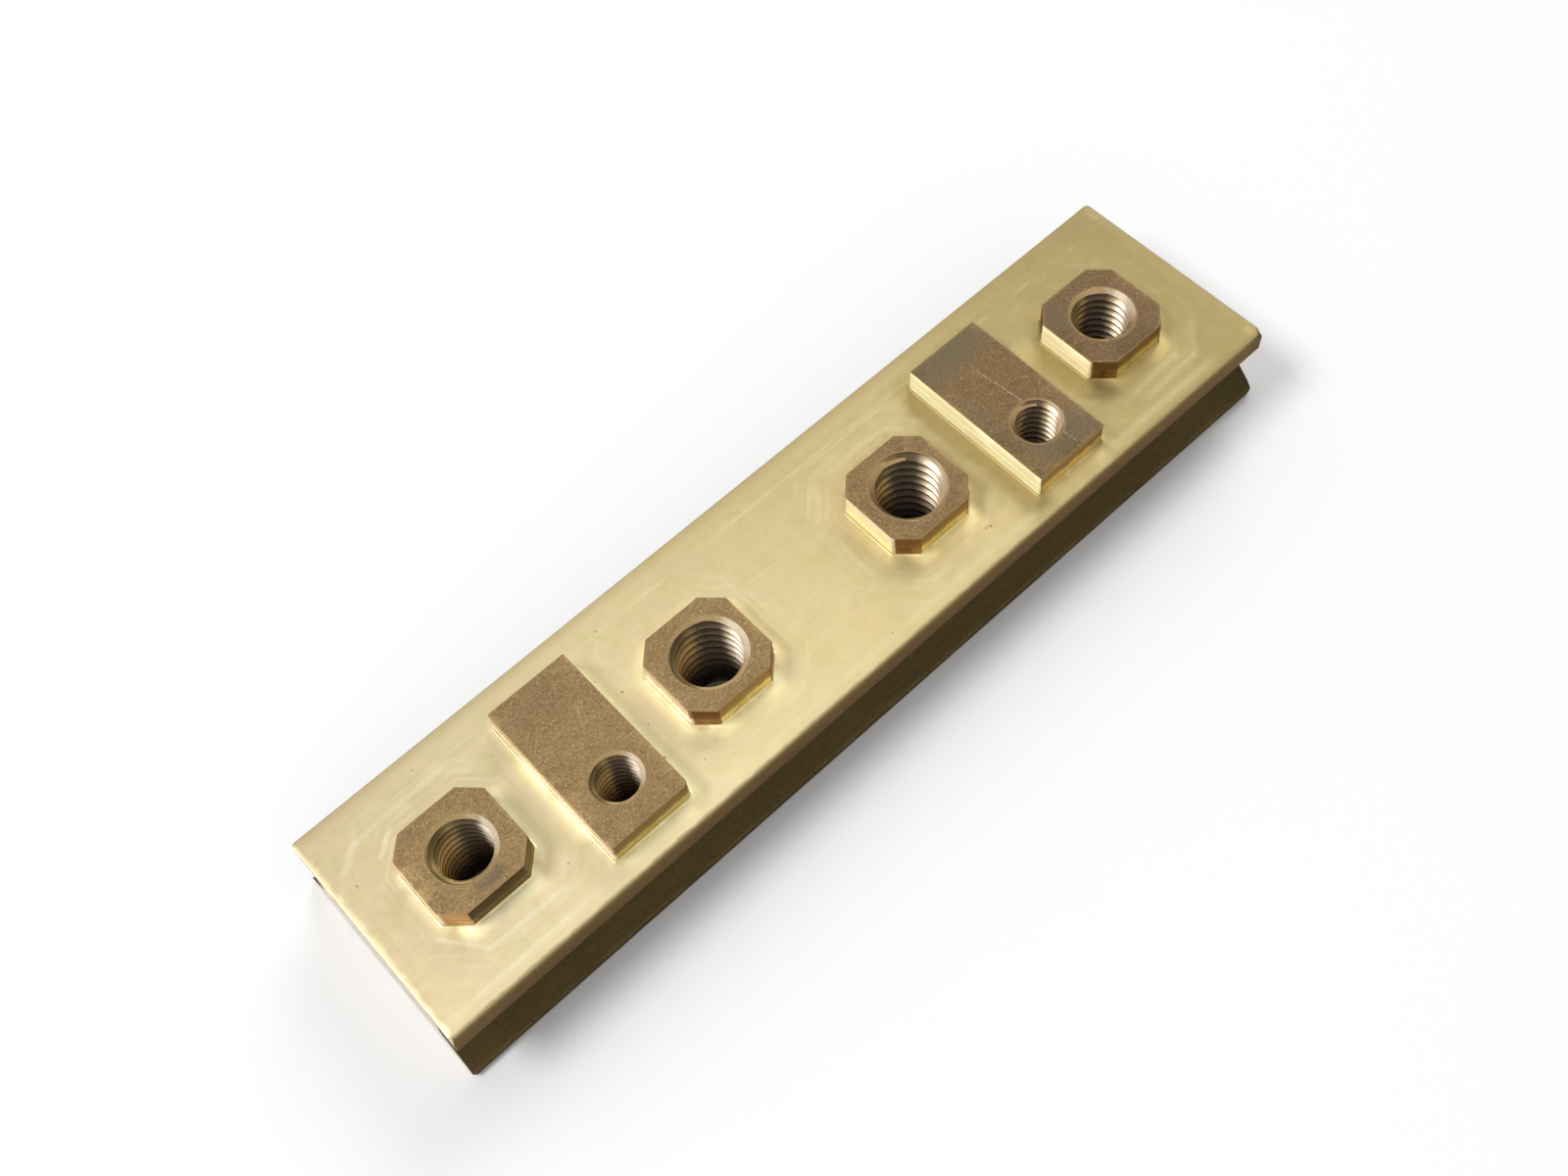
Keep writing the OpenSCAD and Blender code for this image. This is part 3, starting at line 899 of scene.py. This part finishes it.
def brown_skin():
    """the untouched drawn skin left on the seat and pad tops"""
    g = Graph("brown_skin")
    big = g.noise(0.30, 3.0, 0.55, off=(2, 8, 1))
    mid = g.noise(1.3, 3.0, 0.6, off=(6, 1, 4))
    spk = g.noise(4.6, 2.0, 0.7)
    spk2 = g.noise(10.5, 1.5, 0.7, off=(1, 1, 5))
    t = g.step(g.x, -8.0, 34.0)
    base = g.mix(t, SKIN_A, SKIN_B)
    tone = total(g, [1.0, g.mul(g.sub(big, 0.5), 0.35), g.mul(g.sub(mid, 0.5), 0.42), g.mul(g.sub(spk, 0.5), 0.90),
                     g.mul(g.sub(spk2, 0.5), 1.30)])
    col = g.scale_col(base, tone)
    dk = g.step(spk, 0.40, 0.26)
    col = g.mix(g.mul(dk, 0.55), col, (0.07, 0.05, 0.03))
    lt = g.mul(g.step(spk2, 0.56, 0.68), g.step(spk, 0.46, 0.60))
    col = g.mix(g.mul(lt, g.mix_f(t, 0.55, 0.28)), col, (0.66, 0.49, 0.33))
    # blue-grey water stains
    wp = g.mul(g.sub(mid, 0.5), 1.3)
    st = total(g, [
        g.mul(g.blob(-31.7, -3.3, 1.5, 0.55, wp), 0.9), g.mul(g.blob(-34.6, 3.0, 0.9, 0.6, wp), 0.4),
        g.mul(g.mul(g.blob(20.4, 5.3, 4.0, 1.4, wp), g.add(0.45, mid)), 1.0), g.mul(g.mul(g.blob(21.8, -6.0, 3.2, 1.4, wp), g.add(0.4, mid)), 0.85),
        g.mul(g.blob(29.2, 2.2, 1.1, 1.8, wp), 0.6), g.mul(g.blob(33.5, -3.6, 2.6, 0.5, wp), 0.3),
        g.mul(g.blob(18.4, -1.0, 0.7, 3.0, wp), 0.35), g.mul(g.blob(-21.6, 4.8, 2.4, 1.6, wp), 0.25),
    ])
    col = g.mix(g.mul(st, 0.66), col, STAIN)
    # skin rubbed through along the edges and round the holes
    D = None
    for s in SEATS:
        d = g.seat_dist(s, 0.05)
        D = d if D is None else g.mn(D, d)
    lighter_edges = g.mul(g.step(g.add(D, g.mul(g.sub(spk, 0.5), 0.25)), -0.25, -0.06), 0.30)
    H = g.holes()
    ring = g.mul(g.step(g.add(H, g.mul(g.sub(spk, 0.5), 0.2)), 0.20, 0.02), 0.40)
    worn = g.mx(lighter_edges, ring)
    col = g.mix(worn, col, RUBBED)
    sc = g.mx(g.mx(g.seg(21.2, 3.3, 21.7, -1.5, 0.06), g.seg(21.7, -1.5, 21.95, -7.0, 0.05)),
              g.mx(g.seg(-20.2, 1.0, -19.3, 2.6, 0.05), g.seg(8.0, -3.2, 9.1, -4.1, 0.05)))
    sc = g.mul(sc, g.step(spk, 0.38, 0.55))
    col = g.mix(g.mul(sc, 0.6), col, (0.62, 0.50, 0.36))
    h = total(g, [g.mul(spk, 0.8), g.mul(spk2, 0.5), g.mul(mid, 0.4), g.mul(sc, -0.6)])
    rough = total(g, [SKIN_ROUGH, g.mul(g.sub(mid, 0.5), 0.16), g.mul(worn, -0.08), g.mul(st, 0.03)])
    metal = g.add(SKIN_METAL, g.mul(worn, 0.3))
    g.b.inputs["Specular IOR Level"].default_value = 0.3
    return g.finish(col, rough, metal, h, 0.022)


def milled_wall():
    """seat and pad walls: cutter-bright, with scores along them and a brown film towards the top; the walls that face
    the left end carry painted light
    """
    g = Graph("milled_wall")
    mid = g.noise(1.1, 3.0, 0.55, off=(1, 2, 3))
    lay = g.noise(2.2, 3.0, 0.6, vec=g.stretch(0.25, 0.25, 5.0))
    fine = g.noise(7.0, 2.0, 0.6, vec=g.stretch(0.6, 0.6, 2.0))
    base = g.mix(g.step(mid, 0.35, 0.65), WALL_A, WALL_B)
    tone = total(g, [1.0, g.mul(g.sub(lay, 0.5), 0.40), g.mul(g.sub(fine, 0.5), 0.30)])
    col = g.scale_col(base, tone)
    up = g.step(g.add(g.z, g.mul(g.sub(mid, 0.5), 0.35)), FLOOR + 0.80, FLOOR + 1.30)
    # the walls that face the left end get painted light: near-white to golden colours set by position along the bar,
    # with most of the brown skin taken off them; the corner cuts keep the skin whole
    left, corner = None, None
    for s in SEATS:
        hx, hy = (OCT, OCT) if s["kind"] == "oct" else (PADX, PADY)
        q = g.mul(g.step(g.ab(g.sub(g.x, s["x"] - hx)), 0.10, 0.20, 1, 0),
                  g.step(g.ab(g.sub(g.y, s["y"])), hy + 0.1, hy + 0.3, 1, 0))
        left = q if left is None else g.mx(left, q)
        if s["kind"] == "oct":
            e = g.add(g.ab(g.sub(g.x, s["x"])), g.ab(g.sub(g.y, s["y"])))
            q = g.mul(g.step(e, 2 * OCT - CUT - 0.16, 2 * OCT - CUT - 0.06), g.step(e, 2 * OCT, 2 * OCT + 1, 1, 0))
            corner = q if corner is None else g.mx(corner, q)
    film = g.step(g.noise(0.8, 3.0, 0.6, off=(9, 9, 2)), 0.50, 0.68)
    skin = g.mx(g.mul(up, 0.92), g.mul(corner, g.add(0.82, g.mul(film, 0.16))))
    skin = g.mx(skin, g.mul(film, 0.25))
    # the first seat kept its skin down to the floor
    whole = g.step(g.x, -26.5, -27.5)
    skin = g.mx(skin, whole)
    # painted light: lit colours for the walls that face the left end, lower and upper band, set by position along the
    # bar
    col = g.mix(left, col, g.mix(up, g.mix(g.step(g.x, -10.0, 14.0), g.mix(g.step(g.x, -28.0, -27.0), (1.0, 0.96, 0.86), (0.98, 0.91, 0.82)), g.mix(g.step(g.x, 24.0, 25.0), (1.0, 0.87, 0.42), (1.0, 0.82, 0.39))),
                             g.mix(g.step(g.x, -8.0, 4.0), g.mix(g.step(g.x, -30.0, -26.0), (1.0, 0.80, 0.38), g.mix(g.step(g.x, -20.0, -16.0), (0.50, 0.36, 0.19), (0.57, 0.42, 0.27))),
                                   g.mix(g.step(g.x, 8.0, 16.0), (0.93, 0.80, 0.62), g.mix(g.step(g.x, 24.0, 25.0), (1.0, 0.85, 0.40), (1.0, 0.80, 0.36))))))
    # painted light: most of the brown skin is taken off the walls that face the left end
    skin = g.mul(skin, g.sub(1.0, g.mul(left, 0.88)))
    # on the first seat the corner cuts that face the left are painted lighter and those that face the right darker:
    # painted light and shade
    col = g.mix(skin, col, g.mix(corner, g.mix(whole, WALL_UP, g.mix(up, (0.150, 0.100, 0.035), (0.068, 0.042, 0.010))), g.mix(whole, WALL_CUT, g.mix(g.step(g.x, -32.0, -31.0), (0.60, 0.37, 0.19), (0.17, 0.105, 0.036)))))
    pad1 = g.mul(g.mul(g.step(g.x, -26.5, -26.0), g.step(g.x, -15.6, -16.0)), g.sub(1.0, left))
    col = g.mix(g.mul(pad1, 0.9), col, (0.66, 0.64, 0.60), "MULTIPLY")
    cut2 = g.mul(g.mul(corner, g.step(g.x, -15.5, -15.0)), g.step(g.x, -4.0, -5.0))
    col = g.mix(g.mul(cut2, g.mul(up, 0.9)), col, (0.66, 0.48, 0.36), "MULTIPLY")
    # dark score line where the cutter stopped
    score = g.mul(g.band(g.add(g.z, g.mul(g.sub(mid, 0.5), 0.10)), FLOOR + 1.06, 0.07), g.step(lay, 0.35, 0.6))
    col = g.mix(g.mul(score, g.mix_f(left, 0.45, 0.10)), col, (0.10, 0.06, 0.02))
    # painted highlight: from x = 12 mm on, the score line on the walls that face the left end is painted near white, a
    # glint off the step
    col = g.mix(g.mul(g.mul(score, left), g.step(g.x, 12.0, 15.0, 0, 0.9)), col, (1.0, 0.96, 0.86))
    # painted shade: the foot of the walls darkens where they meet the floor, except on the lit walls that face the
    # left end
    root = g.mul(g.mul(g.step(g.z, FLOOR + 0.16, FLOOR + 0.02), g.step(mid, 0.4, 0.6)), g.sub(1.0, g.mul(left, 0.8)))
    col = g.mix(g.mul(root, 0.30), col, (0.16, 0.10, 0.03))
    h = g.add(g.mul(lay, 0.7), g.mul(fine, 0.4))
    h = g.add(h, g.mul(g.mul(left, g.z), g.step(g.x, 14.0, 15.0, 0.0, -94.0)))
    rough = g.add(0.27, g.mul(mid, 0.12))
    return g.finish(col, rough, g.sub(g.mix_f(left, 0.92, 0.45), g.mul(g.mul(left, g.step(g.x, 14.0, 15.0)), 0.40)), h, 0.010)


def edge_metal():
    g = Graph("rubbed_edge")
    mid = g.noise(1.6, 3.0, 0.6)
    fine = g.noise(8.0, 2.0, 0.6)
    base = g.mix(g.step(g.add(mid, g.mul(g.sub(fine, 0.5), 0.5)), 0.40, 0.62), EDGE_A, EDGE_B)
    col = g.scale_col(base, g.add(0.85, g.mul(fine, 0.3)))
    # painted shade: darkened at the near right corner, away from the light
    tip = g.mul(g.step(g.x, 38.5, 39.8), g.step(g.y, -8.6, -9.2))
    col = g.mix(g.mul(tip, 0.85), col, (0.13, 0.094, 0.028))
    return g.finish(col, g.add(0.30, g.mul(mid, 0.12)), 0.9, g.add(fine, g.mul(mid, 0.6)), 0.010)


def side_skin():
    """drawn, dark brown sides with streaks along the bar"""
    g = Graph("drawn_side")
    big = g.noise(0.22, 3.0, 0.55, vec=g.stretch(0.7, 1.6, 1.6, (4, 4, 4)))
    streak = g.noise(1.0, 4.0, 0.65, vec=g.stretch(0.35, 4.5, 4.5))
    fine = g.noise(5.0, 2.0, 0.7, vec=g.stretch(0.8, 1.3, 1.3))
    spk = g.noise(8.0, 1.0, 0.6)
    # painted shade: the side is darker below the flange, under its overhang
    base = g.mix(g.step(g.z, 4.5, 6.4), SIDE_LOW, SIDE_TOP)
    tone = total(g, [1.0, g.mul(g.sub(big, 0.5), 0.40), g.mul(g.sub(streak, 0.5), 0.50), g.mul(g.sub(fine, 0.5), 0.55),
                     g.mul(g.sub(spk, 0.5), 0.90)])
    col = g.scale_col(base, tone)
    # thin lighter lines on rounded edges: along the foot a painted highlight on its rounded edge; along the top of the
    # flange and under it, lighter lines
    foot = g.mul(g.band(g.add(g.z, g.mul(g.sub(fine, 0.5), 0.12)), 0.68, 0.16), g.step(streak, 0.35, 0.6))
    top = g.mul(g.step(g.add(g.z, g.mul(g.sub(fine, 0.5), 0.1)), 7.62, 7.76), 0.8)
    low = g.mul(g.band(g.z, FLOOR - FL_T + 0.06, 0.14), 0.35)
    lighter_edges = g.mx(g.mx(g.mul(foot, 0.12), g.mul(top, 0.2)), low)
    col = g.mix(lighter_edges, col, (0.52, 0.37, 0.17))
    dk = g.mul(g.step(g.noise(2.6, 3.0, 0.65, off=(8, 3, 3)), 0.58, 0.72), 0.5)
    col = g.mix(dk, col, (0.035, 0.028, 0.015))
    h = total(g, [g.mul(streak, 0.9), g.mul(fine, 0.5), g.mul(spk, 0.3)])
    lip = g.step(g.add(g.z, g.add(g.mul(g.sub(fine, 0.5), 0.35), g.mul(g.sub(spk, 0.5), 0.2))), FLOOR - 0.42, FLOOR - 0.08)
    col = g.mix(g.mul(lip, 0.7), col, (0.27, 0.205, 0.075))
    # painted shade: the lower side darkens towards the right end, and the flange darkens at the right end, away from
    # the light
    endd = g.step(g.x, 36.0, 41.0)
    col = g.mix(g.mul(endd, g.step(g.z, 5.6, 5.0, 0.0, 0.55)), col, (0.05, 0.045, 0.014))
    tip = g.mul(g.step(g.x, 39.4, 40.4), g.step(g.z, 5.6, 6.2))
    col = g.mix(g.mul(tip, 0.6), col, (0.10, 0.072, 0.020))
    rough = total(g, [0.42, g.mul(g.sub(streak, 0.5), 0.2), g.mul(lighter_edges, -0.06)])
    g.b.inputs["Specular IOR Level"].default_value = 0.2
    g.b.inputs["Specular Tint"].default_value = (0.55, 0.42, 0.25, 1.0)
    return g.finish(col, rough, SIDE_METAL, h, 0.02)


def sawn_end():
    g = Graph("sawn_end")
    mid = g.noise(0.8, 3.0, 0.6)
    saw = g.noise(2.0, 4.0, 0.6, vec=g.stretch(1.0, 0.30, 6.0))
    fine = g.noise(7.0, 2.0, 0.6)
    base = g.mix(g.step(mid, 0.38, 0.66), (0.80, 0.71, 0.60), (0.62, 0.50, 0.36))
    tone = total(g, [1.0, g.mul(g.sub(saw, 0.5), 0.55), g.mul(g.sub(fine, 0.5), 0.35)])
    col = g.scale_col(base, tone)
    # painted shade: the right end is darkened at its near corner, away from the light
    tip = g.mul(g.step(g.x, 38.0, 39.5), g.step(g.add(g.y, g.mul(g.sub(mid, 0.5), 0.4)), -8.3, -8.9))
    col = g.mix(g.mul(tip, 0.85), col, (0.11, 0.080, 0.024))
    return g.finish(col, g.add(0.32, g.mul(mid, 0.16)), 0.85, g.add(saw, g.mul(fine, 0.3)), 0.03)


def thread_metal():
    """cut thread with painted light and shade set by direction in each hole: a painted lit side towards +X, brighter
    in the left-hand holes; a mid tone towards -Y; painted shade towards +X+Y; painted golden reflection on the other
    sides, orange towards -X+Y and darker there near the top; painted shade in the roots and deeper down
    """
    g = Graph("cut_thread")
    mid = g.noise(1.4, 3.0, 0.6)
    fine = g.noise(9.0, 2.0, 0.6, vec=g.stretch(1, 1, 2.5))
    wob = g.mul(g.sub(mid, 0.5), 0.25)
    root = g.mul(g.bore_depth(), g.step(g.z, TOP - 0.40, TOP - 1.00))
    # painted light and shade by direction in each hole: lit side towards +X, a mid tone towards -Y, shade towards
    # +X+Y, golden reflection on the other sides
    painted_lit_side = g.step(g.add(g.bore_dir(0.985, -0.17), wob), 0.70, 0.97)
    low = g.step(g.bore_dir(0.26, -0.97), 0.10, 0.70)
    shade = g.step(g.add(g.bore_dir(0.66, 0.75), wob), 0.74, 0.98)
    gold = g.step(g.bore_dir(-0.85, 0.53), 0.0, 0.8)
    # painted light: the lit side is brighter in the left-hand holes
    right = g.step(g.x, -20.0, 20.0)
    base = g.mix(gold, THREAD_B, g.mix(g.step(g.z, 7.0, 9.0), THREAD_C, (0.17, 0.115, 0.030)))
    base = g.mix(low, base, THREAD_LOW)
    base = g.mix(shade, base, THREAD_DARK)
    base = g.mix(painted_lit_side, base, g.mix(right, THREAD_A, (0.60, 0.46, 0.31)))
    # painted shade in the thread roots, weaker on the lit side
    base = g.mix(g.mul(root, g.mix_f(painted_lit_side, 0.86, 0.52)), base, (0.055, 0.034, 0.012))
    # painted shade: darker deeper in the hole, near black towards the bottom
    deep = g.step(g.add(g.z, g.mul(g.sub(mid, 0.5), 1.2)), 7.0, 2.5)
    base = g.mix(g.mul(deep, 0.75), base, (0.09, 0.05, 0.02))
    base = g.mix(g.step(g.z, 3.6, 1.4), base, (0.012, 0.010, 0.006))
    col = g.scale_col(base, total(g, [1.0, g.mul(g.sub(mid, 0.5), 0.35), g.mul(g.sub(fine, 0.5), 0.25)]))
    return g.finish(col, g.add(0.26, g.mul(mid, 0.10)), 0.45, fine, 0.004)


def sink_metal():
    g = Graph("countersink")
    mid = g.noise(1.8, 3.0, 0.6)
    fine = g.noise(9.0, 2.0, 0.6, vec=g.stretch(1, 1, 5))
    wob = g.mul(g.sub(mid, 0.5), 0.35)
    # painted light and shade by direction in each countersink: lit towards +X, lighter towards +Y, a mid tone towards
    # -Y, darker towards -X-Y; the left-hand holes are lit brighter
    right = g.step(g.x, -5.0, 25.0)
    painted_lit_side = g.step(g.add(g.bore_dir(0.985, -0.17), wob), 0.55, 0.95)
    low = g.step(g.bore_dir(0.26, -0.97), 0.10, 0.80)
    far = g.step(g.add(g.bore_dir(0.17, 0.985), wob), 0.25, 0.90)
    near_ = g.step(g.add(g.bore_dir(-0.92, -0.39), wob), 0.45, 0.95)
    base = g.mix(far, SINK_B, (0.62, 0.42, 0.19))
    base = g.mix(low, base, g.mix(right, SINK_C, (0.36, 0.23, 0.105)))
    base = g.mix(near_, base, g.mix(right, (0.25, 0.17, 0.062), (0.19, 0.125, 0.055)))
    base = g.mix(painted_lit_side, base, g.mix(right, SINK_A, (0.66, 0.52, 0.37)))
    col = g.scale_col(base, total(g, [1.0, g.mul(g.sub(mid, 0.5), 0.35), g.mul(g.sub(fine, 0.5), 0.3)]))
    return g.finish(col, g.add(0.34, g.mul(mid, 0.14)), 0.50, fine, 0.006)


# floor tones along the bar: their fall from left to right is partly painted light, partly the metal's own tone
FLOOR_TONES = [(0.03, (0.71, 0.580, 0.345)), (0.14, (0.77, 0.640, 0.38)), (0.31, (0.82, 0.680, 0.385)),
               (0.50, (0.69, 0.555, 0.280)), (0.62, (0.60, 0.480, 0.235)), (0.70, (0.55, 0.435, 0.202)),
               (0.82, (0.385, 0.300, 0.120)), (0.97, (0.285, 0.216, 0.076))]
FLOOR_METAL = 0.45
SKIN_A, SKIN_B = (0.30, 0.195, 0.082), (0.145, 0.086, 0.032)
SKIN_ROUGH, SKIN_METAL = 0.46, 0.45
STAIN = (0.130, 0.110, 0.066)
RUBBED = (0.38, 0.26, 0.12)
WALL_A, WALL_B = (0.92, 0.74, 0.33), (0.82, 0.62, 0.23)
WALL_UP, WALL_CUT = (0.28, 0.165, 0.052), (0.20, 0.085, 0.030)
EDGE_A, EDGE_B = (0.86, 0.70, 0.44), (0.66, 0.46, 0.24)
# SIDE_LOW is the side's colour below the flange, darkened as painted shade under the overhang
SIDE_LOW, SIDE_TOP = (0.096, 0.068, 0.025), (0.164, 0.105, 0.046)
SIDE_METAL = 0.60
# thread colours are lit and shaded copies set by direction in each hole: painted light and shade
THREAD_A, THREAD_B, THREAD_C = (0.96, 0.82, 0.66), (0.92, 0.68, 0.22), (0.90, 0.56, 0.18)
THREAD_LOW, THREAD_DARK = (0.70, 0.48, 0.24), (0.15, 0.10, 0.055)
# countersink colours are lit and shaded copies set by direction in each hole: painted light and shade
SINK_A, SINK_B, SINK_C = (0.92, 0.77, 0.54), (0.34, 0.22, 0.10), (0.56, 0.40, 0.20)

mats = [None] * 8
mats[M_FLOOR] = milled_floor()
mats[M_SKIN] = brown_skin()
mats[M_WALL] = milled_wall()
mats[M_EDGE] = edge_metal()
mats[M_SIDE] = side_skin()
mats[M_END] = sawn_end()
mats[M_THREAD] = thread_metal()
mats[M_SINK] = sink_metal()
for m in mats:
    me.materials.append(m)

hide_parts(NODE)
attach(bar, "root")

# ---------------------------------------------------------------- stage
def plane(name, sx, sy, z, subdiv=1):
    bpy.ops.mesh.primitive_plane_add(size=1, location=(0, 0, z))
    o = bpy.context.object
    o.name = name
    o.scale = (sx, sy, 1)
    return o


floor = plane("stage_floor", 4.0, 4.0, lo.z - 0.00002)
gs = Graph("stage_white")
tone = gs.ramp(gs.noise(0.02, 2.0, 0.5), [(0.35, (0.872, 0.876, 0.88)), (0.65, (0.886, 0.888, 0.89))])
gs.b.inputs["Specular IOR Level"].default_value = 0.1
m = gs.finish(tone, 0.9, 0.0)
floor.data.materials.append(m)

# ---------------------------------------------------------------- camera
R = ((0.73608379, -0.67365618, -0.06609093),
     (-0.61589742, -0.62605182, -0.47825672),
     (0.28080424, 0.39274225, -0.8757297))
cam_data = bpy.data.cameras.new("camera")
cam = bpy.data.objects.new("camera", cam_data)
bpy.context.scene.collection.objects.link(cam)
rot = Matrix(((R[0][0], -R[1][0], -R[2][0]), (R[0][1], -R[1][1], -R[2][1]), (R[0][2], -R[1][2], -R[2][2])))
cam.matrix_world = Matrix.Translation(Vector((-37.346, -49.628, 118.837)) * MM) @ rot.to_4x4()
cam_data.sensor_width = 36.0
cam_data.lens = 39.085
cam_data.clip_start = 0.005
cam_data.clip_end = 20.0
bpy.context.scene.camera = cam

# ---------------------------------------------------------------- light
KEY_W, W_LO, W_HI = 7.6, 0.475, 0.57

def area(name, direction, dist, size, power, color=(1, 1, 1), size_y=None):
    d = Vector(direction).normalized()
    ld = bpy.data.lights.new(name, "AREA")
    ld.shape = "RECTANGLE" if size_y else "SQUARE"
    ld.size = size
    if size_y:
        ld.size_y = size_y
    ld.energy = power
    ld.color = color
    o = bpy.data.objects.new(name, ld)
    bpy.context.scene.collection.objects.link(o)
    o.location = d * dist
    o.rotation_euler = (-d).to_track_quat("-Z", "Y").to_euler()
    return o


area("key", (-0.66, 0.34, 1.00), 1.2, 0.46, KEY_W, size_y=0.36)
area("back_right", (0.72, 0.40, 0.58), 1.5, 0.8, 8.0)

# one broad soft source: bright above and behind on the left, dimmer towards the camera and the right
w = bpy.data.worlds.new("world")
bpy.context.scene.world = w
w.use_nodes = True
wn_ = w.node_tree
bg = wn_.nodes["Background"]
tcw = wn_.nodes.new("ShaderNodeTexCoord")
dp = wn_.nodes.new("ShaderNodeVectorMath")
dp.operation = "DOT_PRODUCT"
axis = Vector((-0.72, -0.05, 0.70)).normalized()
dp.inputs[1].default_value = axis
wn_.links.new(tcw.outputs["Generated"], dp.inputs[0])
mr = wn_.nodes.new("ShaderNodeMapRange")
mr.interpolation_type = "SMOOTHSTEP"
mr.inputs["From Min"].default_value = -0.40
mr.inputs["From Max"].default_value = 0.80
mr.inputs["To Min"].default_value = W_LO
mr.inputs["To Max"].default_value = W_HI
wn_.links.new(dp.outputs["Value"], mr.inputs["Value"])
wn_.links.new(mr.outputs["Result"], bg.inputs[1])
bg.inputs[0].default_value = (1, 1, 1, 1)

vs = bpy.context.scene.view_settings
vs.view_transform = "Standard"
vs.look = "None"
vs.exposure = 0.0
vs.gamma = 1.0

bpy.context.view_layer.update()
